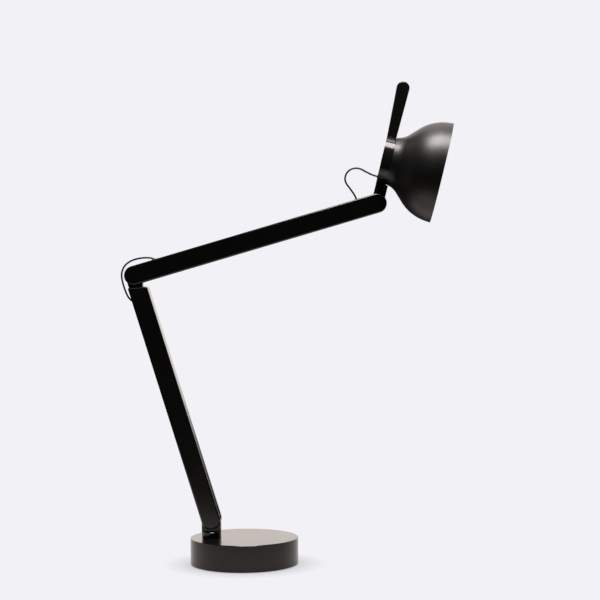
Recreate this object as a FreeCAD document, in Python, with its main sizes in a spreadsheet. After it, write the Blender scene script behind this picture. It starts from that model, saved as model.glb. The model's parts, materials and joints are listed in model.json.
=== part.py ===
import FreeCAD, Part
import math
import os
import Sketcher

# A two-arm desk lamp: a heavy round base, a swivelling knuckle, two square-tube arms of equal section, and
# a bell shade that hangs on a flat paddle with a grip on top. Every hinge is a tongue between two cheeks,
# held by friction. The origin is the middle of the base on the table, +X is the side that the shade faces,
# and +Z is up. The arms lie in the plane Y = 0, and the three arm hinges turn about axes along Y.

Vector = FreeCAD.Vector
doc = FreeCAD.newDocument("DeskLamp")

# ---- driving dimensions, in millimetres and degrees
DRIVING = [
    # pose and main lengths
    ("swivelOffset", 51.5),     # swivel axis, behind the middle of the base
    ("hingeHeight", 70.85),      # bottom hinge above the table
    ("lowerArm", 401.3),          # bottom hinge to elbow
    ("upperArm", 395.9),          # elbow to head hinge
    ("lowerLean", 17.04),        # lower arm, back from upright
    ("upperRise", 16.1),        # upper arm, up from level
    ("headTilt", 13.8),         # paddle, forward from upright
    # base
    ("baseDiameter", 169),
    ("baseHeight", 42.4),
    ("shellWall", 2.5),
    ("shellTop", 3),
    ("shellLift", 1.5),         # bottom rim of the shell above the table
    ("shellBevel", 0.8),        # on the shell's top edge
    ("padHeight", 2.5),
    ("padDiameter", 160),
    ("plateThick", 2),
    ("weightGap", 0.4),         # between the weight and the shell wall
    ("pocketRadius", 16),       # well in the weight round the spindle nut
    ("glandHeight", 12),
    # swivel
    ("footRadius", 15.2),
    ("footTop", 51.6),
    ("slipThick", 0.6),         # slip ring under the foot
    ("spindleRadius", 6),
    ("spindleBore", 4),
    ("spindleEnd", 28),
    # hinges
    ("cheekGap", 13),
    ("tongueThick", 12),
    ("knuckleRadius", 14.9),
    ("elbowRadius", 13.8),
    ("elbowRelief", 7.8),       # front of the elbow tongue at its root, from the arm's middle
    ("pinRadius", 3),
    ("bushRadius", 4.5),
    ("runningGap", 0.05),
    ("headBoreRadius", 5.2),    # counterbore for the screw head
    ("headBoreDepth", 4.4),
    # arms
    ("tubeWidth", 30),
    ("tubeWall", 1.6),
    ("tubeCorner", 3),
    ("capLength", 22),          # hinge to the seam between cap and tube
    ("slotDepth", 17),
    ("spigotLength", 10),
    ("spigotWall", 3),
    ("shoulderSeam", 27),       # elbow to the seam of the shouldered end
    ("shoulderFront", 22.6),
    ("shoulderBack", 16.2),
    ("shoulderRound", 5),
    ("grubSeat", 5),            # grub screw beyond each seam
    # cable
    ("cableRadius", 1.4),       # to the corners of its faceted section
    ("supplyRadius", 2),
    ("elbowExitUpper", 37.55),   # elbow to where the cable leaves the upper arm
    ("elbowExitLower", 38.35),
    ("headExitArm", 29.17),
    ("headExitPaddle", 40.42),
    # head
    ("paddleBack", 9),          # back plane of the paddle behind the hinge
    ("neckWidth", 19),
    ("neckTop", 30.3),          # where the neck's front stops, under the shade's collar
    ("discFront", 6.8),
    ("discRadius", 37.05),
    ("discCentre", 68.6),
    ("wellRadius", 32),
    ("backWall", 3.8),
    ("gripThick", 16),
    ("gripFoot", 14.4),         # grip, front to back, where it leaves the disc
    ("gripRadius", 10.2),
    ("gripTop", 182.4),         # centre of the round end of the grip
    ("gripBack", 2.5),
    # shade
    ("shadeWall", 1.6),
    ("seamRadius", 37.2),
    ("collarLength", 3.2),
    ("collarAngle", 14),
    ("flareRadius", 30.5),
    ("flareAngle", 45),
    ("flareLength", 17.5),
    ("bellRadius", 69),
    ("lipAngle", 6),
    ("mouthDepth", 86.6),
    ("flangeRadius", 18),
    # lamp unit
    ("spreaderRadius", 31),
    ("spreaderThick", 4),
    ("boardRadius", 21),
    ("boardThick", 1.6),
    ("reflectorRim", 58.5),
    ("cupRadius", 34),          # the reflector's straight cup, inside
    ("diffuserDepth", 40),
    ("diffuserRadius", 55.2),
    ("bossCircle", 27.5),
    # switch
    ("buttonRadius", 7),
    ("buttonProud", 0.4),
    ("buttonFlange", 8.6),
]


class Size:
    """A length or an angle, known as a number and as the sheet expression that gives it."""

    def __init__(self, value, text):
        self.value = value
        self.text = text

    def __add__(self, other):
        other = sized(other)
        return Size(self.value + other.value, "(" + self.text + " + " + other.text + ")")

    def __sub__(self, other):
        other = sized(other)
        return Size(self.value - other.value, "(" + self.text + " - " + other.text + ")")

    def __mul__(self, other):
        other = sized(other)
        return Size(self.value * other.value, "(" + self.text + " * " + other.text + ")")

    def __truediv__(self, other):
        other = sized(other)
        return Size(self.value / other.value, "(" + self.text + " / " + other.text + ")")

    def __neg__(self):
        return Size(-self.value, "(0 - " + self.text + ")")


def sized(number):
    if isinstance(number, Size):
        return number
    return Size(float(number), "(%s)" % repr(float(number)))


def sine(angle):
    return Size(math.sin(math.radians(angle.value)), "sin(" + angle.text + " * 1 deg)")


def cosine(angle):
    return Size(math.cos(math.radians(angle.value)), "cos(" + angle.text + " * 1 deg)")


class Dimensions:
    """The named driving dimensions."""


def fillSheet():
    sheet = doc.addObject("Spreadsheet::Sheet", "Sizes")
    dims = Dimensions()
    for row, (alias, number) in enumerate(DRIVING, start=1):
        sheet.set("A%d" % row, alias)
        sheet.set("B%d" % row, str(number))
        sheet.setAlias("B%d" % row, alias)
        setattr(dims, alias, Size(float(number), "Sizes." + alias))
    doc.recompute()
    return dims


d = fillSheet()
half = d.tubeWidth / 2
nodes = []


class Frame:
    """A place in the plane Y = 0: its origin, and its turn about +Y in degrees."""

    def __init__(self, x, z, turn):
        self.x = sized(x)
        self.z = sized(z)
        self.turn = sized(turn)

    def shifted(self, x, z, turn=0):
        x = sized(x)
        z = sized(z)
        c = cosine(self.turn)
        s = sine(self.turn)
        return Frame(self.x + x * c + z * s, self.z - x * s + z * c, self.turn + turn)

    def expression(self):
        spot = "vector(" + self.x.text + "; 0; " + self.z.text + ")"
        return "placement(" + spot + "; rotation(vector(0; 1; 0); " + self.turn.text + "))"

    def point(self, x, z, y=0.0):
        c = math.cos(math.radians(self.turn.value))
        s = math.sin(math.radians(self.turn.value))
        return Vector(self.x.value + x * c + z * s, y, self.z.value - x * s + z * c)


ground = Frame(0, 0, 0)
swivelFoot = Frame(-d.swivelOffset, 0, 0)
knuckleFrame = Frame(-d.swivelOffset, d.hingeHeight, 0)
lowerFrame = Frame(-d.swivelOffset, d.hingeHeight, -d.lowerLean)
lowerTop = lowerFrame.shifted(0, d.lowerArm)
upperFrame = Frame(lowerTop.x, lowerTop.z, sized(90) - d.upperRise)
upperTip = upperFrame.shifted(0, d.upperArm)
headFrame = Frame(upperTip.x, upperTip.z, d.headTilt)
shadeFrame = headFrame.shifted(0, d.discCentre, 90)


# ---- sketches and features
def newBody(label, frame):
    body = doc.addObject("PartDesign::Body", label)
    body.Label = label
    body.setExpression("Placement", frame.expression())
    nodes.append(body)
    return body


def newSketch(body, plane, name, lift=None):
    sketch = body.newObject("Sketcher::SketchObject", name)
    for feature in body.Origin.OriginFeatures:
        if feature.Role == plane:
            sketch.AttachmentSupport = [(feature, "")]
    sketch.MapMode = "FlatFace"
    if lift is not None:
        sketch.setExpression("AttachmentOffset.Base.z", lift.text)
    return sketch


def hold(sketch, kind, geometry, corner, size):
    """Ties one coordinate of a corner (or of an arc's centre) to a size."""
    place = sketch.addConstraint(Sketcher.Constraint(kind, -1, 1, geometry, corner, size.value))
    sketch.setExpression("Constraints[%d]" % place, size.text)


def hexagon(reach):
    """The corners of a regular hexagon, as far as reach from its middle."""
    angles = [math.radians(60 * number) for number in range(6)]
    return [(reach * math.cos(angle), reach * math.sin(angle)) for angle in angles]


def line(x, y):
    return ("line", sized(x), sized(y))


def arc(x, y, centreX, centreY, leftward=True):
    return ("arc", sized(x), sized(y), sized(centreX), sized(centreY), leftward)


def trace(sketch, startX, startY, moves):
    """Draws a closed outline of lines and arcs; the last move ends on the start."""
    x = sized(startX)
    y = sized(startY)
    pieces = []
    for move in moves:
        endX = move[1]
        endY = move[2]
        if move[0] == "line":
            shape = Part.LineSegment(Vector(x.value, y.value, 0), Vector(endX.value, endY.value, 0))
            index = sketch.addGeometry(shape)
            pieces.append((index, 1, 2, x, y, None))
        else:
            centre = Vector(move[3].value, move[4].value, 0)
            radius = math.hypot(x.value - centre.x, y.value - centre.y)
            first = math.atan2(y.value - centre.y, x.value - centre.x)
            last = math.atan2(endY.value - centre.y, endX.value - centre.x)
            if not move[5]:
                first, last = last, first
            if last <= first:
                last += 2 * math.pi
            shape = Part.ArcOfCircle(Part.Circle(centre, Vector(0, 0, 1), radius), first, last)
            index = sketch.addGeometry(shape)
            starts = 1 if move[5] else 2
            pieces.append((index, starts, 3 - starts, x, y, move))
            hold(sketch, "DistanceX", index, 3, move[3])
            hold(sketch, "DistanceY", index, 3, move[4])
        x = endX
        y = endY
    for this, (index, starts, ends, x, y, move) in enumerate(pieces):
        before = pieces[this - 1]
        sketch.addConstraint(Sketcher.Constraint("Coincident", before[0], before[2], index, starts))
        steep = None
        if before[5] is not None:
            # the arc's start and centre already fix its radius, so its end needs one coordinate only
            steep = abs(x.value - before[5][3].value) > abs(y.value - before[5][4].value)
        if steep is not True:
            hold(sketch, "DistanceX", index, starts, x)
        if steep is not False:
            hold(sketch, "DistanceY", index, starts, y)


def circle(sketch, x, y, radius):
    x = sized(x)
    y = sized(y)
    shape = Part.Circle(Vector(x.value, y.value, 0), Vector(0, 0, 1), radius.value)
    index = sketch.addGeometry(shape)
    hold(sketch, "DistanceX", index, 3, x)
    hold(sketch, "DistanceY", index, 3, y)
    place = sketch.addConstraint(Sketcher.Constraint("Radius", index, radius.value))
    sketch.setExpression("Constraints[%d]" % place, radius.text)


def roundedSquare(sketch, reach, corner):
    """A square of half width reach, centred, with round corners."""
    flat = reach - corner
    trace(sketch, reach, -flat, [
        line(reach, flat),
        arc(flat, reach, flat, flat),
        line(-flat, reach),
        arc(-reach, flat, -flat, flat),
        line(-reach, -flat),
        arc(-flat, -reach, -flat, -flat),
        line(flat, -reach),
        arc(reach, -flat, flat, -flat),
    ])


def pad(sketch, length, side="Symmetric", reverse=False):
    body = sketch.getParentGeoFeatureGroup()
    feature = body.newObject("PartDesign::Pad", "Pad")
    feature.Profile = sketch
    feature.setExpression("Length", sized(length).text)
    feature.SideType = side
    feature.Reversed = reverse
    return feature


def pocket(sketch, length, side="Symmetric", reverse=False):
    body = sketch.getParentGeoFeatureGroup()
    feature = body.newObject("PartDesign::Pocket", "Pocket")
    feature.Profile = sketch
    feature.setExpression("Length", sized(length).text)
    feature.SideType = side
    feature.Reversed = reverse
    return feature


def revolve(sketch, axis="V_Axis"):
    body = sketch.getParentGeoFeatureGroup()
    feature = body.newObject("PartDesign::Revolution", "Revolution")
    feature.Profile = sketch
    feature.ReferenceAxis = (sketch, [axis])
    feature.Angle = 360
    return feature


def turned(label, frame, startX, startY, moves):
    """A body turned about its own Z axis from an outline of radius and height."""
    body = newBody(label, frame)
    sketch = newSketch(body, "XZ_Plane", label + "_outline")
    trace(sketch, startX, startY, moves)
    revolve(sketch)
    return body


def washerOutline(inner, outer, low, high):
    inner, outer, low, high = sized(inner), sized(outer), sized(low), sized(high)
    return inner, low, [line(outer, low), line(outer, high), line(inner, high), line(inner, low)]


def drill(body, radius, length, x, y, z, direction):
    """Bores a round hole from a point of the body's frame along a direction."""
    tool = body.newObject("PartDesign::SubtractiveCylinder", "Bore")
    tool.setExpression("Radius", sized(radius).text)
    tool.setExpression("Height", sized(length).text)
    settle(tool, x, y, z, direction)
    return tool


def cutBox(body, lengthX, lengthY, lengthZ, x, y, z):
    """Cuts a block away; x, y and z are its lowest corner."""
    tool = body.newObject("PartDesign::SubtractiveBox", "Notch")
    tool.setExpression("Length", sized(lengthX).text)
    tool.setExpression("Width", sized(lengthY).text)
    tool.setExpression("Height", sized(lengthZ).text)
    settle(tool, x, y, z, Vector(0, 0, 1))
    return tool


def settle(tool, x, y, z, direction):
    tool.Placement = FreeCAD.Placement(Vector(0, 0, 0), FreeCAD.Rotation(Vector(0, 0, 1), direction))
    tool.setExpression("Placement.Base.x", sized(x).text)
    tool.setExpression("Placement.Base.y", sized(y).text)
    tool.setExpression("Placement.Base.z", sized(z).text)


def roundEdges(body, radius, wanted, kind="PartDesign::Fillet"):
    """Rounds or chamfers every edge of the body so far for which wanted(edge) is true."""
    doc.recompute()
    tip = body.Tip
    names = ["Edge%d" % (n + 1) for n, edge in enumerate(tip.Shape.Edges) if wanted(edge)]
    feature = body.newObject(kind, "Rounding")
    feature.Base = (tip, names)
    quantity = "Radius" if kind == "PartDesign::Fillet" else "Size"
    feature.setExpression(quantity, sized(radius).text)
    return feature


def near(a, b):
    return abs(a - b) < 0.01


def ends(edge, axis):
    box = edge.BoundBox
    return {"x": (box.XMin, box.XMax), "y": (box.YMin, box.YMax), "z": (box.ZMin, box.ZMax)}[axis]


def inPlane(edge, axis, value):
    low, high = ends(edge, axis)
    return near(low, value) and near(high, value)


# ---- base
baseRadius = d.baseDiameter / 2
innerRadius = baseRadius - d.shellWall
underTop = d.baseHeight - d.shellTop
plateTop = d.padHeight + d.plateThick
leadBend = baseRadius - 12.5


def makeBaseShell():
    shell = turned("base_shell", ground, 0, underTop, [
        line(innerRadius, underTop),
        line(innerRadius, d.shellLift),
        line(baseRadius, d.shellLift),
        line(baseRadius, d.baseHeight - d.shellBevel),
        line(baseRadius - d.shellBevel, d.baseHeight),
        line(0, d.baseHeight),
        line(0, underTop),
    ])
    drill(shell, d.spindleRadius + 0.08, d.baseHeight, -d.swivelOffset, 0, 1, Vector(0, 0, 1))
    drill(shell, 5, 20, 0, baseRadius - 10, d.glandHeight, Vector(0, 1, 0))


def makeBaseWeight():
    outer = innerRadius - d.weightGap
    weight = turned("base_weight", ground, 0, plateTop, [
        line(outer, plateTop),
        line(outer, underTop),
        line(0, underTop),
        line(0, plateTop),
    ])
    drill(weight, d.pocketRadius, 60, -d.swivelOffset, 0, 0, Vector(0, 0, 1))
    # the lead's channel, open below: a chamber inside the gland, and a slanting slot from there to the well
    chamber = baseRadius - 20
    cutBox(weight, 14, 22, d.glandHeight + 6, -7, chamber, 0)
    channel = weight.newObject("PartDesign::SubtractiveBox", "Channel")
    channel.setExpression("Length", "sqrt(Sizes.swivelOffset ^ 2 + " + leadBend.text + " ^ 2)")
    channel.setExpression("Width", "10")
    channel.setExpression("Height", (d.glandHeight + 5).text)
    heading = math.degrees(math.atan2(leadBend.value, d.swivelOffset.value))
    turn = FreeCAD.Rotation(Vector(0, 0, 1), heading)
    channel.Placement = FreeCAD.Placement(Vector(0, 0, 0), turn)
    across = turn.multVec(Vector(0, -5, 0))
    channel.setExpression("Placement.Base.x", (sized(across.x) - d.swivelOffset).text)
    channel.setExpression("Placement.Base.y", sized(across.y).text)
    for x, y in plateScrewPlaces():
        drill(weight, 1.65, 13, x, y, 0, Vector(0, 0, 1))


def plateScrewPlaces():
    angles = [math.radians(30 + 120 * number) for number in range(3)]
    return [(66 * math.cos(angle), 66 * math.sin(angle)) for angle in angles]


def makeBasePlate():
    plate = turned("base_plate", ground, *washerOutline(0, innerRadius - d.weightGap, d.padHeight, plateTop))
    for x, y in plateScrewPlaces():
        drill(plate, 1.65, 10, x, y, 0, Vector(0, 0, 1))


def makeBasePad():
    basePad = turned("base_pad", ground, *washerOutline(0, d.padDiameter / 2, 0, d.padHeight))
    for x, y in plateScrewPlaces():
        drill(basePad, 2.6, 10, x, y, -2, Vector(0, 0, 1))


def makePlateScrews():
    """Three pan screws through the plate into the weight; their heads sit in the pad's layer."""
    screws = []
    for number, (x, y) in enumerate(plateScrewPlaces()):
        seat = Vector(x, y, d.padHeight.value)
        screws.append(panScrew("PlateScrew%d" % number, 1.6, 10, 2.3, 1.4, seat, Vector(0, 0, 1)))
    group("plate_screws", screws)


def panScrew(name, shankRadius, shankLength, headRadius, headHeight, seat, direction):
    """A screw whose shank runs from its seat along direction, with the head on the other side."""
    turn = FreeCAD.Rotation(Vector(0, 0, 1), direction)
    shank = doc.addObject("Part::Cylinder", name + "Shank")
    shank.Radius = shankRadius
    shank.Height = shankLength + headHeight / 2
    shank.Placement = FreeCAD.Placement(seat - turn.multVec(Vector(0, 0, headHeight / 2)), turn)
    head = doc.addObject("Part::Cylinder", name + "Head")
    head.Radius = headRadius
    head.Height = headHeight
    head.Placement = FreeCAD.Placement(seat - turn.multVec(Vector(0, 0, headHeight)), turn)
    whole = doc.addObject("Part::Fuse", name + "Whole")
    whole.Base = shank
    whole.Tool = head
    socket = doc.addObject("Part::Prism", name + "Socket")
    socket.Polygon = 6
    socket.Circumradius = headRadius * 0.5
    socket.Height = headHeight * 0.6
    socket.Placement = head.Placement
    screw = doc.addObject("Part::Cut", name)
    screw.Base = whole
    screw.Tool = socket
    return screw


def group(label, members):
    """Several separate solids in one node."""
    compound = doc.addObject("Part::Compound", label)
    compound.Label = label
    compound.Links = members
    nodes.append(compound)
    return compound


def makeGland():
    """A flanged bush for the supply lead, in the shell's far side."""
    gland = newBody("cable_gland", ground)
    gland.setExpression("Placement", "placement(vector(0; " + baseRadius.text + "; "
                        + d.glandHeight.text + "); rotation(vector(1; 0; 0); -90))")
    sketch = newSketch(gland, "XZ_Plane", "gland_outline")
    bore = d.supplyRadius + 0.1
    trace(sketch, bore, -4.6, [
        line(4.9, -4.6),
        line(4.9, 0),
        line(6.8, 0),
        line(6.8, 1.4),
        line(6, 2.2),
        line(bore, 2.2),
        line(bore, -4.6),
    ])
    revolve(sketch)


# ---- cables
loopSides = 8
hiddenSides = 6


def cablePath(points):
    """Straight runs joined by tangent arcs, each as wide as its runs allow; gives the wire and its radii."""
    edges = []
    radii = []
    last = points[0]
    for before, corner, after in zip(points, points[1:], points[2:]):
        into = (corner - before).normalize()
        out = (after - corner).normalize()
        turn = into.getAngle(out)
        reach = 0.45 * min((corner - before).Length, (after - corner).Length)
        radii.append(reach / math.tan(turn / 2))
        first = corner - into * reach
        second = corner + out * reach
        inward = (out - into).normalize()
        centre = corner + inward * (reach / math.sin(turn / 2))
        middle = centre - inward * radii[-1]
        edges.append(Part.LineSegment(last, first).toShape())
        edges.append(Part.Arc(first, middle, second).toShape())
        last = second
    edges.append(Part.LineSegment(last, points[-1]).toShape())
    return Part.Wire(edges), radii


def makeCable(label, points, radius, sides):
    """A cable with a faceted section of an even number of sides, swept along its route."""
    path, radii = cablePath(points)
    start = (points[1] - points[0]).normalize()
    across = Vector(0, radius, 0) if abs(start.y) < 0.5 else Vector(0, 0, radius)
    spin = [FreeCAD.Rotation(start, 360 * (side + 0.5) / sides) for side in range(sides + 1)]
    section = Part.makePolygon([points[0] + turn.multVec(across) for turn in spin])
    shape = path.makePipeShell([section], True, False)
    cable = doc.addObject("Part::Feature", label)
    cable.Label = label
    cable.Shape = shape
    nodes.append(cable)
    expected = sides / 2 * math.sin(2 * math.pi / sides) * radius ** 2 * path.Length
    print("%s: length %.1f mm, radii %s, volume ratio %.4f" % (
        label, path.Length, " ".join("%.1f" % r for r in radii), shape.Volume / expected))


def fromHinge(frame, routes):
    return [Vector(frame.x.value + x, 0, frame.z.value + z) for x, z in routes]


def makeLeads():
    """The leads inside the base, the arms and the head; each ends on the face of what it runs into."""
    radius = d.cableRadius.value
    height = d.glandHeight.value
    swivelX = -d.swivelOffset.value
    makeCable("base_lead", [
        Vector(0, baseRadius.value - 2, height),
        Vector(0, leadBend.value, height),
        Vector(swivelX, 0, height),
        Vector(swivelX, 0, d.footTop.value - 4),
    ], d.supplyRadius.value, hiddenSides)

    elbowLoop = fromHinge(lowerTop, ELBOW_LOOP)
    headLoop = fromHinge(upperTip, HEAD_LOOP)
    makeCable("lower_arm_lead", [
        lowerFrame.point(0, d.slotDepth.value + 0.5),
        onward(elbowLoop[-2], elbowLoop[-1], 17.3),
        elbowLoop[-1],
    ], radius, hiddenSides)

    bend = d.upperArm.value - d.headExitArm.value
    makeCable("upper_arm_lead", [
        elbowLoop[0],
        onward(elbowLoop[1], elbowLoop[0], 20.1),
        upperFrame.point(4, bend - 6.5),
        onward(headLoop[-2], headLoop[-1], 9.7),
        headLoop[-1],
    ], radius, hiddenSides)

    makeCable("head_lead", [
        headLoop[0],
        onward(headLoop[1], headLoop[0], 5.6),
        headFrame.point(4.2, d.headExitPaddle.value + 4.2),
        headFrame.point(4.2, d.discCentre.value - 18.6),
    ], radius, hiddenSides)

    front = boardBack + 1.6
    seat = d.discFront + d.shadeWall + d.spreaderThick
    turned("led_lead", shadeFrame.shifted(12, 0), *washerOutline(0, 1.1, front, seat))


def onward(before, end, length):
    """The point further on from an end, in the direction in which the run reaches it."""
    return end + (end - before).normalize() * length


# Routes of the two free loops, as offsets in X and Z from the elbow and from the head hinge.
ELBOW_LOOP = [
    (35.4, 22.9), (29.7, 26.05), (21.5, 27.6), (9.0, 26.9), (-4.5, 23.4), (-15.5, 16.0), (-20.9, 3.5),
    (-19.6, -9.0), (-15.8, -21.5), (-12.0, -31.5), (-6.6, -39.2), (0.4, -42.9),
]
HEAD_LOOP = [
    (4.2, 40.6), (-4.9, 42.8), (-15.6, 47.9), (-27.6, 54.9), (-38.8, 54.3), (-46.8, 48.6), (-50.5, 39.0),
    (-48.0, 30.6), (-41.5, 22.4), (-33.5, 10.8), (-31.4, 3.6),
]


def makeLoops():
    radius = d.cableRadius.value
    makeCable("cable_elbow_loop", fromHinge(lowerTop, ELBOW_LOOP), radius, loopSides)
    makeCable("cable_head_loop", fromHinge(upperTip, HEAD_LOOP), radius, loopSides)


def makeGrommet(label, frame, barrel, depth, slant, play):
    """A bush in a wall; its frame has +Z out of the wall, and its bore leans by slant degrees to -X."""
    grommet = turned(label, frame, 0, -depth, [
        line(barrel, -depth),
        line(barrel, 0),
        line(barrel + 0.8, 0),
        line(barrel + 0.8, 0.5),
        line(0, 0.5),
        line(0, -depth),
    ])
    lean = math.radians(slant)
    way = Vector(-math.sin(lean), 0, math.cos(lean))
    drill(grommet, d.cableRadius + play, 30, -15 * way.x, 0, -15 * way.z, way)


# ---- swivel
def makeSlipRing():
    outline = washerOutline(d.spindleRadius + 0.4, d.footRadius - 0.5, d.baseHeight,
                            d.baseHeight + d.slipThick - 0.05)
    turned("swivel_slip_ring", swivelFoot, *outline)


def makeKnuckle():
    """A round foot with an upright tongue whose top is round about the bottom hinge."""
    low = d.baseHeight + d.slipThick - d.hingeHeight
    top = d.footTop - d.hingeHeight
    knuckle = turned("swivel_knuckle", knuckleFrame, 0, low, [
        line(d.footRadius, low),
        line(d.footRadius, top - 0.6),
        line(d.footRadius - 0.6, top),
        line(0, top),
        line(0, low),
    ])
    sketch = newSketch(knuckle, "XZ_Plane", "tongue_outline")
    trace(sketch, -d.knuckleRadius, top - 2, [
        line(d.knuckleRadius, top - 2),
        line(d.knuckleRadius, 0),
        arc(-d.knuckleRadius, 0, 0, 0),
        line(-d.knuckleRadius, top - 2),
    ])
    pad(sketch, d.tongueThick)
    drill(knuckle, d.bushRadius + 0.02, 40, 0, -20, 0, Vector(0, 1, 0))
    drill(knuckle, d.spindleRadius + 0.02, 10, 0, 0, low - 2, Vector(0, 0, 1))
    # the lead's way: a slanting bore past the bush, and a groove round the tongue's rim
    rise = Vector(11, 0, 23)
    drill(knuckle, 1.9, 27, 0, 0, top - 4, rise)
    groove = newSketch(knuckle, "XY_Plane", "rim_groove")
    rim = d.knuckleRadius + 1
    trace(groove, 11, -2, [line(rim, -2), line(rim, 2), line(11, 2), line(11, -2)])
    cut = knuckle.newObject("PartDesign::Groove", "RimGroove")
    cut.Profile = groove
    cut.ReferenceAxis = (groove, ["V_Axis"])
    cut.Angle = 180
    cut.Reversed = True


def makeSpindle():
    low = d.spindleEnd
    high = d.footTop - 3
    turned("swivel_spindle", swivelFoot, *washerOutline(d.spindleBore, d.spindleRadius, low, high))
    top = underTop - 0.05
    bore = d.spindleRadius + 0.05
    turned("spindle_washer", swivelFoot, *washerOutline(bore, 12, top - 1.5, top))
    turned("spindle_spring", swivelFoot, bore, top - 2.3, [
        line(10, top - 1.9),
        line(10, top - 1.5),
        line(bore, top - 1.9),
        line(bore, top - 2.3),
    ])
    nut = newBody("spindle_nut", swivelFoot)
    sketch = newSketch(nut, "XY_Plane", "nut_outline", top - 8.3)
    corners = hexagon(11)
    trace(sketch, corners[0][0], corners[0][1], [line(x, y) for x, y in corners[1:] + corners[:1]])
    circle(sketch, 0, 0, bore)
    pad(sketch, 6, "One side")


# ---- hinges
def makeBush(label, frame):
    """A plain bush in a tongue, on the hinge axis."""
    bush = newBody(label, frame)
    sketch = newSketch(bush, "XZ_Plane", label + "_outline")
    circle(sketch, 0, 0, d.bushRadius)
    circle(sketch, 0, 0, d.pinRadius + d.runningGap)
    pad(sketch, d.tongueThick)


def makeHingeScrew(label, frame):
    """A socket-head screw along Y: its head is sunk in the far cheek, its tip in the blind near cheek."""
    screw = newBody(label, frame)
    sketch = newSketch(screw, "XY_Plane", label + "_outline")
    seat = half - d.headBoreDepth + 0.6
    crown = half - 0.3
    trace(sketch, 0, -12, [
        line(d.pinRadius, -12),
        line(d.pinRadius, seat),
        line(4.9, seat),
        line(4.9, crown),
        line(0, crown),
        line(0, -12),
    ])
    revolve(sketch)
    socket = newSketch(screw, "XZ_Plane", label + "_socket", -crown)
    corners = hexagon(2.9)
    trace(socket, corners[0][0], corners[0][1], [line(x, y) for x, y in corners[1:] + corners[:1]])
    pocket(socket, 2.4, "Symmetric")


def makeHingeSpring(label, frame):
    """A cone washer under the screw head, which presses the cheeks on the tongue."""
    spring = newBody(label, frame)
    sketch = newSketch(spring, "XY_Plane", label + "_outline")
    floor = half - d.headBoreDepth
    inner = d.pinRadius + 0.15
    outer = d.headBoreRadius - 0.2
    trace(sketch, inner, floor + 0.2, [
        line(outer, floor),
        line(outer, floor + 0.4),
        line(inner, floor + 0.6),
        line(inner, floor + 0.2),
    ])
    revolve(sketch)


def makeFrictionWashers(label, frame):
    """Two thin washers, one on each cheek, that rub on the tongue."""
    washers = []
    wall = d.cheekGap / 2
    for side in (-1, 1):
        sleeve = doc.addObject("Part::Cylinder", label + "Disc%d" % side)
        bore = doc.addObject("Part::Cylinder", label + "Bore%d" % side)
        sleeve.setExpression("Radius", (d.bushRadius + 6).text)
        bore.setExpression("Radius", (d.pinRadius + 0.2).text)
        start = -wall if side < 0 else wall - 0.4
        spin = FreeCAD.Rotation(Vector(0, 0, 1), Vector(0, 1, 0))
        for tool in (sleeve, bore):
            tool.setExpression("Height", "0.4")
            tool.Placement = FreeCAD.Placement(Vector(0, 0, 0), spin)
            tool.setExpression("Placement.Base.x", frame.x.text)
            tool.setExpression("Placement.Base.y", start.text)
            tool.setExpression("Placement.Base.z", frame.z.text)
        ring = doc.addObject("Part::Cut", label + "Ring%d" % side)
        ring.Base = sleeve
        ring.Tool = bore
        washers.append(ring)
    group(label, washers)


def makeClevis(label, frame, leadHole=False):
    """A cap for the end of a square tube: two round-ended cheeks about the hinge, and a hollow spigot."""
    clevis = newBody(label, frame)
    sketch = newSketch(clevis, "XZ_Plane", label + "_side")
    trace(sketch, half, 0, [
        line(half, d.capLength),
        line(-half, d.capLength),
        line(-half, 0),
        arc(half, 0, 0, 0),
    ])
    pad(sketch, d.tubeWidth)
    cap = d.capLength.value
    reach = half.value

    def onFace(edge):
        flat = inPlane(edge, "y", reach) or inPlane(edge, "y", -reach)
        return flat and not inPlane(edge, "z", cap)

    roundEdges(clevis, d.tubeCorner, onFace)
    spigot = half - d.tubeWall - 0.05
    corner = d.tubeCorner - d.tubeWall
    sketch = newSketch(clevis, "XY_Plane", label + "_spigot", d.capLength)
    roundedSquare(sketch, spigot, corner)
    pad(sketch, d.spigotLength, "One side")
    sketch = newSketch(clevis, "XY_Plane", label + "_hollow", d.capLength + d.spigotLength)
    roundedSquare(sketch, spigot - d.spigotWall, corner)
    pocket(sketch, d.spigotLength, "One side")
    # the slot for the tongue, open at the end and on both sides
    cutBox(clevis, d.tubeWidth + 2, d.cheekGap, d.slotDepth + half + 1, -half - 1, -d.cheekGap / 2, -half - 1)
    drill(clevis, d.pinRadius + 0.03, half + 13, 0, -12.5, 0, Vector(0, 1, 0))
    drill(clevis, d.headBoreRadius, d.headBoreDepth + 1, 0, half - d.headBoreDepth, 0, Vector(0, 1, 0))
    drill(clevis, 1.55, 6, 0, 9, d.capLength + d.grubSeat, Vector(0, 1, 0))
    if leadHole:
        drill(clevis, 3.2, 10, 0, 0, d.slotDepth - 2, Vector(0, 0, 1))
    return clevis


def makeGrubScrews(label, places):
    """Short socket screws that hold each end piece in its tube, in the far face."""
    screws = []
    for number, (frame, z) in enumerate(places):
        seat = frame.point(0, z, 14.6)
        name = label + "Screw%d" % number
        shank = doc.addObject("Part::Cylinder", name)
        shank.Radius = 1.5
        shank.Height = 4.2
        spin = FreeCAD.Rotation(Vector(0, 0, 1), Vector(0, -1, 0))
        shank.Placement = FreeCAD.Placement(seat, spin)
        socket = doc.addObject("Part::Prism", name + "Socket")
        socket.Polygon = 6
        socket.Circumradius = 0.9
        socket.Height = 1.6
        socket.Placement = shank.Placement
        screw = doc.addObject("Part::Cut", name + "Cut")
        screw.Base = shank
        screw.Tool = socket
        screws.append(screw)
    group(label, screws)


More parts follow.
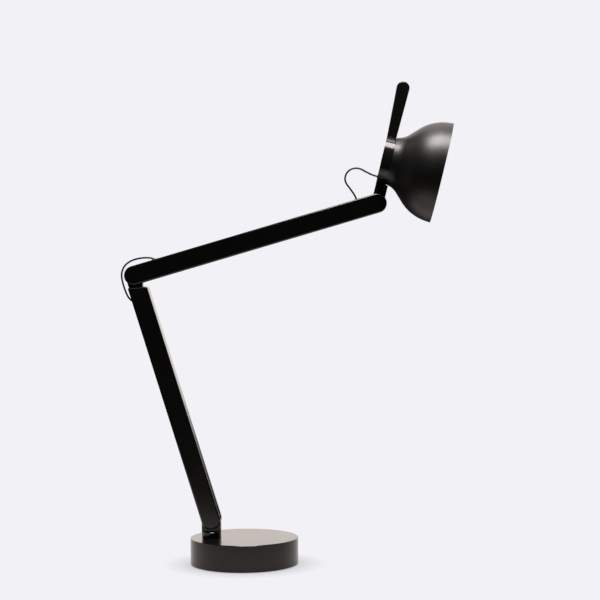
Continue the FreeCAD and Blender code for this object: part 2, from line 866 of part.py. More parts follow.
# ---- arms
def makeTube(label, frame, start, end, exits, grubs):
    """A square tube along the frame's Z, with grommet holes in its -X wall and grub holes in its +Y wall."""
    tube = newBody(label, frame)
    sketch = newSketch(tube, "XY_Plane", label + "_section", sized(start))
    roundedSquare(sketch, half, d.tubeCorner)
    roundedSquare(sketch, half - d.tubeWall, d.tubeCorner - d.tubeWall)
    pad(sketch, end - start, "One side")
    for z, barrel in exits:
        drill(tube, barrel + 0.05, 6, -half + 3, 0, z, Vector(-1, 0, 0))
    for z in grubs:
        drill(tube, 1.6, 6, 0, half - 3, z, Vector(0, 1, 0))


def makeShoulder():
    """The lower arm's top end: a tongue on a sloping shoulder, cut back in front so that the elbow folds."""
    piece = newBody("elbow_tongue", lowerTop)
    seam = -d.shoulderSeam
    sketch = newSketch(piece, "XZ_Plane", "shoulder_side")
    trace(sketch, -half, seam, [
        line(half, seam),
        line(half, -d.shoulderFront),
        line(-half, -d.shoulderBack),
        line(-half, seam),
    ])
    pad(sketch, d.tubeWidth)
    reach = half.value

    def corner(edge, x):
        box = edge.BoundBox
        return near(box.XMin, x) and near(box.XMax, x) and box.YLength > 20 and box.ZMax > seam.value + 1

    roundEdges(piece, d.shoulderRound - 0.8, lambda edge: corner(edge, reach))
    roundEdges(piece, 1.5, lambda edge: corner(edge, -reach))

    def onFace(edge):
        flat = inPlane(edge, "y", reach) or inPlane(edge, "y", -reach)
        return flat and not inPlane(edge, "z", seam.value)

    roundEdges(piece, d.tubeCorner, onFace)
    sketch = newSketch(piece, "XZ_Plane", "tongue_side")
    trace(sketch, d.elbowRelief, seam + 2, [
        line(d.elbowRelief, -d.shoulderFront + 2),
        line(d.elbowRadius, -1),
        line(d.elbowRadius, 0),
        arc(-d.elbowRadius, 0, 0, 0),
        line(-d.elbowRadius, seam + 2),
        line(d.elbowRelief, seam + 2),
    ])
    pad(sketch, d.tongueThick)
    spigot = half - d.tubeWall - 0.05
    corner = d.tubeCorner - d.tubeWall
    sketch = newSketch(piece, "XY_Plane", "shoulder_spigot", seam)
    roundedSquare(sketch, spigot, corner)
    pad(sketch, d.spigotLength, "One side", True)
    sketch = newSketch(piece, "XY_Plane", "shoulder_hollow", seam - d.spigotLength)
    roundedSquare(sketch, spigot - d.spigotWall, corner)
    pocket(sketch, d.spigotLength, "One side", True)
    drill(piece, d.bushRadius + 0.02, 40, 0, -20, 0, Vector(0, 1, 0))
    drill(piece, 1.55, 6, 0, 9, seam - d.grubSeat, Vector(0, 1, 0))
    cutBox(piece, 6, 11, 12, -spigot - 1, -5.5, -d.elbowExitLower - 6)


def makeArms():
    seam = d.capLength
    lowerEnd = d.lowerArm - d.shoulderSeam
    upperEnd = d.upperArm - seam
    wide = sized(4.3)
    slim = sized(2.8)
    exitLow = d.lowerArm - d.elbowExitLower
    exitUp = d.elbowExitUpper
    exitHead = d.upperArm - d.headExitArm

    makeTube("lower_tube", lowerFrame, seam, lowerEnd, [(exitLow, wide)],
             [seam + d.grubSeat, lowerEnd - d.grubSeat])
    makeTube("upper_tube", upperFrame, seam, upperEnd, [(exitUp, wide), (exitHead, slim)],
             [seam + d.grubSeat, upperEnd - d.grubSeat])
    makeClevis("lower_clevis", lowerFrame, leadHole=True)
    makeClevis("elbow_clevis", upperFrame)
    flipped = upperFrame.shifted(0, d.upperArm, 180)
    makeHeadClevis(flipped)
    makeShoulder()

    makeGrommet("lower_arm_grommet", lowerFrame.shifted(-half, exitLow, -90), wide, 2.2, -45, 0.25)
    makeGrommet("upper_elbow_grommet", upperFrame.shifted(-half, exitUp, -90), wide, 2.2, 45, 0.25)
    makeGrommet("upper_head_grommet", upperFrame.shifted(-half, exitHead, -90), slim, 2.2, 0, 0.1)

    grub = (d.capLength + d.grubSeat).value
    lowTop = (d.lowerArm - d.shoulderSeam - d.grubSeat).value
    upTop = (d.upperArm - d.capLength - d.grubSeat).value
    makeGrubScrews("lower_arm_screws", [(lowerFrame, grub), (lowerFrame, lowTop)])
    makeGrubScrews("upper_arm_screws", [(upperFrame, grub), (upperFrame, upTop)])


def makeHeadClevis(frame):
    """The cap at the head end, turned end for end; its spigot is notched on the arm's top side."""
    clevis = makeClevis("head_clevis", frame)
    # the frame is turned by 180 degrees about Y, so the arm's top side is +X here
    spigot = half - d.tubeWall - 0.05
    cutBox(clevis, 6, 9, 12, spigot - 5, -4.5, d.headExitArm - 4.5)


def makeHinges():
    hinges = [
        ("lower", knuckleFrame, lowerFrame),
        ("elbow", lowerTop, upperFrame),
        ("head", headFrame, upperTip),
    ]
    for name, tongueSide, cheekSide in hinges:
        makeBush(name + "_hinge_bush", tongueSide)
        makeHingeScrew(name + "_hinge_screw", cheekSide)
        makeHingeSpring(name + "_hinge_spring", cheekSide)
        makeFrictionWashers(name + "_friction_washers", cheekSide)


# ---- head
def makeHeadPaddle():
    """One casting: neck, disc housing and tapered grip, in a frame with +X forward and +Z up the paddle."""
    paddle = newBody("head_paddle", headFrame)
    back = -d.paddleBack
    radius = d.neckWidth / 2
    middle = radius - d.paddleBack
    sketch = newSketch(paddle, "XZ_Plane", "neck_side")
    meet = d.discCentre - d.discRadius + 6
    trace(sketch, middle + radius, 0, [
        line(middle + radius, d.neckTop),
        line(d.discFront, d.neckTop),
        line(d.discFront, meet),
        line(back, meet),
        line(back, 0),
        arc(middle + radius, 0, middle, 0),
    ])
    pad(sketch, d.tongueThick)

    # the grip widens upwards from the disc to a full round end
    sketch = newSketch(paddle, "XZ_Plane", "grip_side")
    foot = d.discCentre + d.discRadius - 8
    topX = -d.gripBack
    trace(sketch, back, foot, [
        line(back + d.gripFoot, foot),
        line(topX + d.gripRadius, d.gripTop),
        arc(topX - d.gripRadius, d.gripTop, topX, d.gripTop),
        line(back, foot),
    ])
    pad(sketch, d.gripThick)
    side = d.gripThick.value / 2
    above = (d.discCentre + d.discRadius).value

    def gripEdge(edge):
        box = edge.BoundBox
        flat = near(abs(box.YMin), side) and near(box.YLength, 0)
        return flat and box.ZMax > above

    roundEdges(paddle, 2, gripEdge)

    sketch = newSketch(paddle, "YZ_Plane", "disc_face", back)
    circle(sketch, 0, d.discCentre, d.discRadius)
    pad(sketch, d.discFront + d.paddleBack, "One side")
    sketch = newSketch(paddle, "YZ_Plane", "disc_well", back + d.backWall)
    circle(sketch, 0, d.discCentre, d.wellRadius)
    pocket(sketch, 40, "One side", True)

    # three bosses for the shade screws
    sketch = newSketch(paddle, "YZ_Plane", "bosses", back + d.backWall - 0.5)
    for y, z in bossPlaces():
        circle(sketch, y, z, sized(3.4))
    pad(sketch, d.discFront + d.paddleBack - d.backWall + 0.5, "One side")
    for y, z in bossPlaces():
        drill(paddle, 1.35, 12, d.discFront - 11, y, z, Vector(1, 0, 0))
    # three pillars that carry the control board
    sketch = newSketch(paddle, "YZ_Plane", "pillars", back + d.backWall - 0.5)
    for y, z in pillarPlaces():
        circle(sketch, y, z, sized(2))
    pad(sketch, 6.1, "One side")
    drill(paddle, d.buttonRadius + 0.3, 20, back - 5, 0, d.discCentre, Vector(1, 0, 0))
    drill(paddle, 2.85, 10, back - 3, 0, d.headExitPaddle, Vector(1, 0, 0))
    drill(paddle, d.bushRadius + 0.02, 40, 0, -20, 0, Vector(0, 1, 0))


def bossPlaces():
    spots = []
    for number in range(3):
        angle = math.radians(120 * number)
        spots.append((d.bossCircle * math.sin(angle), d.discCentre + d.bossCircle * math.cos(angle)))
    return spots


def pillarPlaces():
    spots = []
    for number in range(3):
        angle = math.radians(60 + 120 * number)
        spots.append((sized(20 * math.sin(angle)), d.discCentre + 20 * math.cos(angle)))
    return spots


boardBack = -d.paddleBack + d.backWall + 5.6


class Pen:
    """Walks along an outline; the heading is in degrees from +X towards +Y."""

    def __init__(self, x, y, heading):
        self.x = sized(x)
        self.y = sized(y)
        self.heading = sized(heading)
        self.steps = []

    def forward(self, length):
        begin = (self.x, self.y)
        self.x = self.x + cosine(self.heading) * length
        self.y = self.y + sine(self.heading) * length
        self.steps.append(("line", begin, (self.x, self.y), None, None))

    def turn(self, radius, angle):
        """Turns left by a positive angle and right by a negative one."""
        side = 1 if angle.value > 0 else -1
        begin = (self.x, self.y)
        centreX = self.x - sine(self.heading) * radius * side
        centreY = self.y + cosine(self.heading) * radius * side
        self.heading = self.heading + angle
        self.x = centreX + sine(self.heading) * radius * side
        self.y = centreY - cosine(self.heading) * radius * side
        self.steps.append(("arc", begin, (self.x, self.y), (centreX, centreY), side > 0))

    def ahead(self):
        """The walk as outline moves."""
        moves = []
        for kind, begin, end, centre, left in self.steps:
            moves.append(line(*end) if kind == "line" else arc(*end, *centre, left))
        return moves

    def backwards(self):
        """The same walk from its end to its start."""
        moves = []
        for kind, begin, end, centre, left in reversed(self.steps):
            moves.append(line(*begin) if kind == "line" else arc(*begin, *centre, not left))
        return moves


def bellPath(inset):
    """The shade's flare: a short collar, a hollow curve, a straight cone, a full curve and a straight lip."""
    start = sized(90) - d.collarAngle
    pen = Pen(d.seamRadius - sine(start) * inset, d.discFront + cosine(start) * inset, start)
    pen.forward(d.collarLength)
    pen.turn(d.flareRadius + inset, d.collarAngle - d.flareAngle)
    pen.forward(d.flareLength)
    pen.turn(d.bellRadius - inset, d.flareAngle - d.lipAngle)
    mouth = d.mouthDepth + cosine(sized(90) - d.lipAngle) * inset
    pen.forward((mouth - pen.y) / cosine(d.lipAngle))
    return pen


def makeShade():
    outer = bellPath(sized(0))
    inner = bellPath(d.shadeWall)
    shade = newBody("shade", shadeFrame)
    sketch = newSketch(shade, "XZ_Plane", "shade_outline")
    front = d.discFront + d.shadeWall
    inside = inner.steps[0][2]
    moves = [line(d.seamRadius, d.discFront)] + outer.ahead() + [line(inner.x, inner.y)]
    moves += inner.backwards()[:-1]
    moves += [line(inside[0] - 0.8, front), line(d.flangeRadius, front), line(d.flangeRadius, d.discFront)]
    trace(sketch, d.flangeRadius, d.discFront, moves)
    revolve(sketch)
    for x, y in shadeScrewPlaces():
        drill(shade, 1.7, 6, x, y, d.discFront - 2, Vector(0, 0, 1))


def shadeScrewPlaces():
    """The bosses seen from the shade's frame, whose X runs down the paddle."""
    return [(d.discCentre - z, y) for y, z in bossPlaces()]


def makeLampUnit():
    back = d.discFront + d.shadeWall
    face = back + d.spreaderThick
    spreader = turned("heat_spreader", shadeFrame, 0, back, [
        line(d.spreaderRadius, back),
        line(d.spreaderRadius, face),
        line(0, face),
        line(0, back),
    ])
    for x, y in shadeScrewPlaces():
        drill(spreader, 1.7, 12, x, y, back - 2, Vector(0, 0, 1))
    drill(spreader, 2, 12, 12, 0, back - 2, Vector(0, 0, 1))

    turned("led_board", shadeFrame, *washerOutline(0, d.boardRadius, face, face + d.boardThick))
    chips = []
    for number in range(9):
        chips.append(ledChip(number, face + d.boardThick))
    group("led_chips", chips)

    screws = []
    for number, (x, y) in enumerate(shadeScrewPlaces()):
        turn = FreeCAD.Rotation(Vector(0, 1, 0), shadeFrame.turn.value)
        flat = shadeFrame.point(x.value, face.value)
        seat = Vector(flat.x, y.value, flat.z)
        inward = turn.multVec(Vector(0, 0, -1))
        screws.append(panScrew("ShadeScrew%d" % number, 1.25, 12, 2.6, 2, seat, inward))
    group("shade_screws", screws)

    rim = d.diffuserDepth
    cupOuter = d.cupRadius + 1.2
    floor = face + 3.6
    turned("reflector", shadeFrame, 22, face, [
        line(23.2, face),
        line(23.2, floor),
        line(cupOuter, floor),
        line(cupOuter, rim),
        line(d.reflectorRim, rim),
        line(d.reflectorRim, rim + 1.2),
        line(d.cupRadius, rim + 1.2),
        line(d.cupRadius, floor + 1.2),
        line(22, floor + 1.2),
        line(22, face),
    ])
    seat = rim + 1.2
    turned("diffuser", shadeFrame, *washerOutline(0, d.diffuserRadius, seat, seat + 2))
    pocketWall = d.diffuserRadius + 0.3
    lip = d.diffuserRadius - 2.6
    turned("diffuser_ring", shadeFrame, pocketWall, seat, [
        line(d.reflectorRim, seat),
        line(d.reflectorRim, seat + 3.4),
        line(lip, seat + 3.4),
        line(lip, seat + 2.1),
        line(pocketWall, seat + 2.1),
        line(pocketWall, seat),
    ])


def ledChip(number, seat):
    """One square emitter on the board: a middle one and a ring of eight."""
    reach = 0 if number == 0 else 13.5
    angle = math.radians(45 * number + 22.5)
    chip = doc.addObject("Part::Box", "Chip%d" % number)
    chip.Length = 3
    chip.Width = 3
    chip.Height = 0.8
    x = reach * math.cos(angle)
    y = reach * math.sin(angle)
    flat = shadeFrame.point(x, seat.value)
    turn = FreeCAD.Rotation(Vector(0, 1, 0), shadeFrame.turn.value)
    corner = Vector(flat.x, y, flat.z) + turn.multVec(Vector(-1.5, -1.5, 0))
    chip.Placement = FreeCAD.Placement(corner, turn)
    return chip


def makeSwitch():
    """The control board on its pillars, the tactile switch on it, and the button in the disc's back wall."""
    board = turned("control_board", shadeFrame, *washerOutline(0, 23, boardBack, boardBack + 1.6))
    sketch = newSketch(board, "XY_Plane", "lead_socket", boardBack + 1)
    trace(sketch, 18.6, -4, [line(18.6, 4), line(14, 4), line(14, -4), line(18.6, -4)])
    pad(sketch, 5, "One side")
    case = newBody("tactile_switch", shadeFrame)
    sketch = newSketch(case, "XY_Plane", "switch_case", boardBack - 3.2)
    trace(sketch, 4.5, -4.5, [line(4.5, 4.5), line(-4.5, 4.5), line(-4.5, -4.5), line(4.5, -4.5)])
    pad(sketch, 3.2, "One side")

    outside = -d.paddleBack - d.buttonProud
    wall = -d.paddleBack + d.backWall
    turned("switch_button", shadeFrame, 0, outside, [
        line(d.buttonRadius - 0.8, outside),
        line(d.buttonRadius, outside + 0.8),
        line(d.buttonRadius, wall + 0.15),
        line(d.buttonFlange, wall + 0.15),
        line(d.buttonFlange, wall + 1.05),
        line(0, wall + 1.05),
        line(0, outside),
    ])
    exitPlace = headFrame.shifted(-d.paddleBack, d.headExitPaddle, -90)
    makeGrommet("head_grommet", exitPlace, sized(2.8), 3.4, 0, 0.1)


# ---- build and check
def checkAndWrite():
    doc.recompute()
    faults = []
    for thing in doc.Objects:
        if "Invalid" in thing.State or "Error" in thing.State:
            faults.append(thing.Name + " " + " ".join(thing.State))
    for node in nodes:
        if node.Shape.isNull() or not node.Shape.isValid():
            faults.append(node.Label + " has no valid shape")
    if faults:
        raise RuntimeError("; ".join(faults))
    os.makedirs("parts", exist_ok=True)
    for node in nodes:
        node.Shape.exportStep(os.path.join("parts", node.Label + ".step"))
    print("%d nodes written" % len(nodes))


makeBaseShell()
makeBaseWeight()
makeBasePlate()
makeBasePad()
makePlateScrews()
makeGland()
makeSlipRing()
makeKnuckle()
makeSpindle()
makeArms()
makeHinges()
makeHeadPaddle()
makeShade()
makeLampUnit()
makeSwitch()
makeLeads()
makeLoops()
checkAndWrite()
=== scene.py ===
import bpy
import bmesh
import json
import math
from mathutils import Matrix, Vector


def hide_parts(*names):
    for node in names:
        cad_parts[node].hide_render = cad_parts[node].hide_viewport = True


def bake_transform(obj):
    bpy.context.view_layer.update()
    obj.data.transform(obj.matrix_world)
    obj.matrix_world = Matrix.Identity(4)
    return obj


# A black two-arm desk lamp on a heavy round base, in metres, +Z up, the shade facing +X.

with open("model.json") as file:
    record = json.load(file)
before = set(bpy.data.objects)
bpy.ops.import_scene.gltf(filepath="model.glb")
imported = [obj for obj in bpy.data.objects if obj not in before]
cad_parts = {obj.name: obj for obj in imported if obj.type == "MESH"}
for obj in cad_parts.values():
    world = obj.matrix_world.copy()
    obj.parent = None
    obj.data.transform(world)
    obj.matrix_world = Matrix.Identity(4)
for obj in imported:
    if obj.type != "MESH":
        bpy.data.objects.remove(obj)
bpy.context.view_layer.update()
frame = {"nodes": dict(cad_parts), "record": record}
nodes = frame["nodes"]
scene = bpy.context.scene
print("frame loaded:", len(nodes), "nodes")


# the camera stands where the photograph was taken from
cameraLook = {
    "place": (0.2149, -2.9211, 0.5168),
    "yaw": -2.4473,     # degrees, negative looks towards -X
    "pitch": 2.008,     # degrees below level
    "roll": -0.405,
    "lens": 112.42,     # mm
    "sensor": 36,       # mm across
    "farthest": 50,     # metres
}


def makeCamera():
    yaw = math.radians(cameraLook["yaw"])
    pitch = math.radians(cameraLook["pitch"])
    roll = math.radians(cameraLook["roll"])
    ahead = Vector((math.sin(yaw) * math.cos(pitch), math.cos(yaw) * math.cos(pitch), -math.sin(pitch)))
    level = Vector((math.cos(yaw), -math.sin(yaw), 0))
    upright = level.cross(ahead)
    across = level * math.cos(roll) + upright * math.sin(roll)
    above = upright * math.cos(roll) - level * math.sin(roll)
    data = bpy.data.cameras.new("photoCamera")
    data.lens = cameraLook["lens"]
    data.sensor_width = cameraLook["sensor"]
    data.clip_end = cameraLook["farthest"]
    camera = bpy.data.objects.new("photoCamera", data)
    turn = Matrix((across, above, -ahead)).transposed()
    camera.matrix_world = Matrix.Translation(Vector(cameraLook["place"])) @ turn.to_4x4()
    scene.collection.objects.link(camera)
    scene.camera = camera


makeCamera()
print("camera set")


# where the hinges are, from the lamp's own sizes in metres and degrees
lamp = {
    "swivelOffset": 0.0515,
    "hingeHeight": 0.07085,
    "lowerArm": 0.4013,
    "upperArm": 0.3959,
    "lowerLean": 17.04,     # from upright, towards -X
    "upperRise": 16.1,      # above level
}
lowerTurn = math.radians(lamp["lowerLean"])
upperTurn = math.radians(lamp["upperRise"])
footHinge = Vector((-lamp["swivelOffset"], 0, lamp["hingeHeight"]))
lowerWay = Vector((-math.sin(lowerTurn), 0, math.cos(lowerTurn)))
upperWay = Vector((math.cos(upperTurn), 0, math.sin(upperTurn)))
elbowHinge = footHinge + lowerWay * lamp["lowerArm"]
headHinge = elbowHinge + upperWay * lamp["upperArm"]


# cable routes in mm from the elbow and from the head hinge, in the arms' plane
elbowRoute = [
    (35.4, 22.9), (29.7, 26.05), (21.5, 27.6), (9.0, 26.9), (-4.5, 23.4), (-15.5, 16.0), (-20.9, 3.5),
    (-19.6, -9.0), (-15.8, -21.5), (-12.0, -31.5), (-6.6, -39.2), (0.4, -42.9),
]
headRoute = [
    (4.2, 40.6), (-4.9, 42.8), (-15.6, 47.9), (-27.6, 54.9), (-38.8, 54.3), (-46.8, 48.6), (-50.5, 39.0),
    (-48.0, 30.6), (-41.5, 22.4), (-33.5, 10.8), (-31.4, 3.6),
]
cableLook = {
    "thickness": 0.0028,
    "sides": 20,
    "smoothness": 24,   # points read from the line, for each point of the route
}


def splineCurve(name, points):
    curve = bpy.data.curves.new(name, "CURVE")
    curve.dimensions = "3D"
    curve.resolution_u = cableLook["smoothness"]
    spline = curve.splines.new("NURBS")
    spline.points.add(len(points) - 1)
    for spot, place in zip(spline.points, points):
        spot.co = (*place, 1)
    spline.order_u = 3
    spline.use_endpoint_u = True
    return curve


def pointsAlong(curve):
    holder = bpy.data.objects.new("routeReader", curve)
    scene.collection.objects.link(holder)
    bpy.context.view_layer.update()
    line = bpy.data.meshes.new_from_object(holder)
    points = [vertex.co.copy() for vertex in line.vertices]
    bpy.data.objects.remove(holder)
    bpy.data.meshes.remove(line)
    return points


def sweepCircle(name, path, radius, sides):
    # the loops lie in one plane, so a circle carried along the line needs no twist
    bm = bmesh.new()
    across = Vector((0, 1, 0))
    rings = []
    for number, place in enumerate(path):
        before = path[max(number - 1, 0)]
        after = path[min(number + 1, len(path) - 1)]
        way = (after - before).normalized()
        outward = way.cross(across)
        ring = bmesh.ops.create_circle(bm, cap_ends=False, radius=radius, segments=sides)["verts"]
        turn = Matrix((across, outward, way)).transposed().to_4x4()
        bmesh.ops.transform(bm, matrix=Matrix.Translation(place) @ turn, verts=ring)
        rings.append(ring)
    for first, second in zip(rings, rings[1:]):
        edges = [e for ring in (first, second) for v in ring for e in v.link_edges
                 if e.other_vert(v) in ring]
        bmesh.ops.bridge_loops(bm, edges=list(set(edges)))
    for ring in (rings[0], rings[-1]):
        bm.faces.new(ring)
    bmesh.ops.recalc_face_normals(bm, faces=bm.faces)
    return finishMesh(name, bm)


def finishMesh(name, bm, smooth=True):
    mesh = bpy.data.meshes.new(name)
    bm.to_mesh(mesh)
    bm.free()
    if smooth:
        mesh.shade_smooth()
    piece = bpy.data.objects.new(name, mesh)
    scene.collection.objects.link(piece)
    return piece


def fromHinge(hinge, spot):
    return hinge + Vector((spot[0] / 1000, 0, spot[1] / 1000))


def makeLoop(name, route, hinge):
    path = pointsAlong(splineCurve(name + "Line", [fromHinge(hinge, spot) for spot in route]))
    cable = sweepCircle(name, path, cableLook["thickness"] / 2, cableLook["sides"])
    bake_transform(cable)
    return cable


elbowLoop = makeLoop("elbowCable", elbowRoute, elbowHinge)
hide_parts("cable_elbow_loop")
headLoop = makeLoop("headCable", headRoute, headHinge)
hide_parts("cable_head_loop")


# surface effects shared by the materials
def newGroup(name, inputs, outputs):
    group = bpy.data.node_groups.new(name, "ShaderNodeTree")
    for label, kind, value in inputs:
        socket = group.interface.new_socket(name=label, in_out="INPUT", socket_type=kind)
        socket.default_value = value
    for label, kind in outputs:
        group.interface.new_socket(name=label, in_out="OUTPUT", socket_type=kind)
    source = group.nodes.new("NodeGroupInput")
    sink = group.nodes.new("NodeGroupOutput")
    return group, source, sink


def compute(group, operation, first, second, clamp=False):
    node = group.nodes.new("ShaderNodeMath")
    node.operation = operation
    node.use_clamp = clamp
    for socket, value in zip(node.inputs, (first, second)):
        if isinstance(value, (int, float)):
            socket.default_value = value
        else:
            group.links.new(value, socket)
    return node.outputs[0]


def ramp(group, value, start, slope):
    return compute(group, "MULTIPLY", compute(group, "SUBTRACT", value, start), slope, clamp=True)


def addShares(group, first, second, shares):
    parts = [compute(group, "MULTIPLY", value, share) for value, share in zip((first, second), shares)]
    return compute(group, "ADD", *parts)


def noise(group, vector, scale, detail, roughness):
    node = group.nodes.new("ShaderNodeTexNoise")
    node.inputs["Detail"].default_value = detail
    node.inputs["Roughness"].default_value = roughness
    if isinstance(scale, (int, float)):
        node.inputs["Scale"].default_value = scale
    else:
        group.links.new(scale, node.inputs["Scale"])
    group.links.new(vector, node.inputs["Vector"])
    return node.outputs["Fac"]


noiseMiddle = 0.5               # the value about which a noise texture swings
paintPattern = {                # noise scale, detail and roughness
    "fine": (3, 0.6),           # its scale is the group's Grain Size
    "coarse": (260, 2, 0.5),
    "slow": (24, 4, 0.6),
    "smear": (70, 5, 0.65),
    "heightShares": (0.6, 0.4),     # of the fine and the coarse grain
    "swingShares": (0.5, 0.5),      # of the slow and the smeared changes
    "swingReach": 4,
}


def makePaintGrain():
    # fine powder-coat grain with slow, faint changes of tone
    group, source, sink = newGroup("paintGrain", [
        ("Vector", "NodeSocketVector", (0, 0, 0)),
        ("Grain Size", "NodeSocketFloat", 1600),
        ("Roughness", "NodeSocketFloat", 0.4),
        ("Roughness Change", "NodeSocketFloat", 0.06),
    ], [("Height", "NodeSocketFloat"), ("Roughness", "NodeSocketFloat"), ("Tone", "NodeSocketFloat")])
    place = source.outputs["Vector"]
    fine = noise(group, place, source.outputs["Grain Size"], *paintPattern["fine"])
    coarse = noise(group, place, *paintPattern["coarse"])
    slow = noise(group, place, *paintPattern["slow"])
    smear = noise(group, place, *paintPattern["smear"])
    height = addShares(group, fine, coarse, paintPattern["heightShares"])
    change = addShares(group, slow, smear, paintPattern["swingShares"])
    swing = compute(group, "SUBTRACT", change, noiseMiddle)
    reach = compute(group, "MULTIPLY", source.outputs["Roughness Change"], paintPattern["swingReach"])
    rough = compute(group, "ADD", source.outputs["Roughness"], compute(group, "MULTIPLY", swing, reach))
    group.links.new(height, sink.inputs["Height"])
    group.links.new(rough, sink.inputs["Roughness"])
    group.links.new(slow, sink.inputs["Tone"])
    return group


dustPattern = {
    "specks": (900, 2, 0.5),    # noise scale, detail and roughness
    "haze": (45, 5, 0.6),
    "speckFrom": 0.68,          # noise above this makes a speck
    "speckSlope": 6,
    "tiltFrom": 0.3,            # dust lies where the surface looks up by more than this
    "tiltSlope": 1.4,
    "shares": (0.6, 0.25),      # of specks and haze
}


def makeDust():
    # sparse specks and a thin haze on faces that look up
    group, source, sink = newGroup("settledDust", [
        ("Vector", "NodeSocketVector", (0, 0, 0)),
        ("Amount", "NodeSocketFloat", 0.2),
    ], [("Mask", "NodeSocketFloat")])
    place = source.outputs["Vector"]
    specks = noise(group, place, *dustPattern["specks"])
    haze = noise(group, place, *dustPattern["haze"])
    spot = ramp(group, specks, dustPattern["speckFrom"], dustPattern["speckSlope"])
    geometry = group.nodes.new("ShaderNodeNewGeometry")
    split = group.nodes.new("ShaderNodeSeparateXYZ")
    group.links.new(geometry.outputs["Normal"], split.inputs[0])
    upward = ramp(group, split.outputs["Z"], dustPattern["tiltFrom"], dustPattern["tiltSlope"])
    cover = addShares(group, spot, haze, dustPattern["shares"])
    mask = compute(group, "MULTIPLY", compute(group, "MULTIPLY", cover, upward), source.outputs["Amount"])
    group.links.new(mask, sink.inputs["Mask"])
    return group


brushPattern = {
    "lines": (90, 6, 0.7),      # noise scale, detail and roughness
    "slow": (60, 3, 0.5),
    "roughnessSwing": 0.35,
}


def makeBrushing():
    # fine turning or brushing lines across one direction
    group, source, sink = newGroup("brushedLines", [
        ("Vector", "NodeSocketVector", (0, 0, 0)),
        ("Stretch", "NodeSocketVector", (1, 1, 40)),
        ("Roughness", "NodeSocketFloat", 0.3),
    ], [("Height", "NodeSocketFloat"), ("Roughness", "NodeSocketFloat"), ("Tone", "NodeSocketFloat")])
    stretched = group.nodes.new("ShaderNodeVectorMath")
    stretched.operation = "MULTIPLY"
    group.links.new(source.outputs["Vector"], stretched.inputs[0])
    group.links.new(source.outputs["Stretch"], stretched.inputs[1])
    lines = noise(group, stretched.outputs[0], *brushPattern["lines"])
    slow = noise(group, source.outputs["Vector"], *brushPattern["slow"])
    offMiddle = compute(group, "SUBTRACT", lines, noiseMiddle)
    swing = compute(group, "MULTIPLY", offMiddle, brushPattern["roughnessSwing"])
    rough = compute(group, "ADD", source.outputs["Roughness"], swing)
    group.links.new(lines, sink.inputs["Height"])
    group.links.new(rough, sink.inputs["Roughness"])
    group.links.new(slow, sink.inputs["Tone"])
    return group


paintGrain = makePaintGrain()
settledDust = makeDust()
brushedLines = makeBrushing()
print("surface effects made")


# materials
def newMaterial(name):
    material = bpy.data.materials.new(name)
    material.use_nodes = True
    tree = material.node_tree
    shader = tree.nodes["Principled BSDF"]
    place = tree.nodes.new("ShaderNodeTexCoord").outputs["Object"]
    return material, tree, shader, place


def useGroup(tree, group, place, values):
    node = tree.nodes.new("ShaderNodeGroup")
    node.node_tree = group
    tree.links.new(place, node.inputs["Vector"])
    for name, value in values.items():
        node.inputs[name].default_value = value
    return node


def mixColour(tree, factor, first, second):
    node = tree.nodes.new("ShaderNodeMix")
    node.data_type = "RGBA"
    tree.links.new(factor, node.inputs["Factor"])
    for label, value in (("A", first), ("B", second)):
        socket = [s for s in node.inputs if s.name == label and s.type == "RGBA"][0]
        if isinstance(value, tuple):
            socket.default_value = (*value, 1)
        else:
            tree.links.new(value, socket)
    return [s for s in node.outputs if s.type == "RGBA"][0]


def bump(tree, shader, height, strength, depth):
    node = tree.nodes.new("ShaderNodeBump")
    node.inputs["Strength"].default_value = strength
    node.inputs["Distance"].default_value = depth
    tree.links.new(height, node.inputs["Height"])
    tree.links.new(node.outputs["Normal"], shader.inputs["Normal"])


patternDepths = {"grain": 0.0002, "lines": 0.0001}      # metres, before a finish's own strength
dustColour = (0.35, 0.34, 0.32)
plasticLook = {
    "roughnessChange": 0.05,
    "lightReach": 0.002,        # metres that light spreads inside
}


def paintedMetal(name, look):
    material, tree, shader, place = newMaterial(name)
    grain = useGroup(tree, paintGrain, place, {
        "Grain Size": look["grainSize"],
        "Roughness": look["roughness"],
        "Roughness Change": look["roughnessChange"],
    })
    dust = useGroup(tree, settledDust, place, {"Amount": look["dust"]})
    tone = mixColour(tree, grain.outputs["Tone"], look["dark"], look["light"])
    tree.links.new(mixColour(tree, dust.outputs["Mask"], tone, dustColour), shader.inputs["Base Color"])
    tree.links.new(grain.outputs["Roughness"], shader.inputs["Roughness"])
    shader.inputs["Specular IOR Level"].default_value = look["gloss"]
    bump(tree, shader, grain.outputs["Height"], look["grainDepth"], patternDepths["grain"])
    return material


def bareMetal(name, look):
    material, tree, shader, place = newMaterial(name)
    lines = useGroup(tree, brushedLines, place, {
        "Stretch": look["stretch"],
        "Roughness": look["roughness"],
    })
    tone = mixColour(tree, lines.outputs["Tone"], look["dark"], look["light"])
    tree.links.new(tone, shader.inputs["Base Color"])
    tree.links.new(lines.outputs["Roughness"], shader.inputs["Roughness"])
    shader.inputs["Metallic"].default_value = 1
    bump(tree, shader, lines.outputs["Height"], look["depth"], patternDepths["lines"])
    return material


def mouldedPlastic(name, look):
    material, tree, shader, place = newMaterial(name)
    grain = useGroup(tree, paintGrain, place, {
        "Grain Size": look["grainSize"],
        "Roughness": look["roughness"],
        "Roughness Change": plasticLook["roughnessChange"],
    })
    tone = mixColour(tree, grain.outputs["Tone"], look["dark"], look["light"])
    tree.links.new(tone, shader.inputs["Base Color"])
    tree.links.new(grain.outputs["Roughness"], shader.inputs["Roughness"])
    shader.inputs["Subsurface Weight"].default_value = look.get("depthOfLight", 0)
    shader.inputs["Subsurface Scale"].default_value = plasticLook["lightReach"]
    bump(tree, shader, grain.outputs["Height"], look["grainDepth"], patternDepths["grain"])
    return material


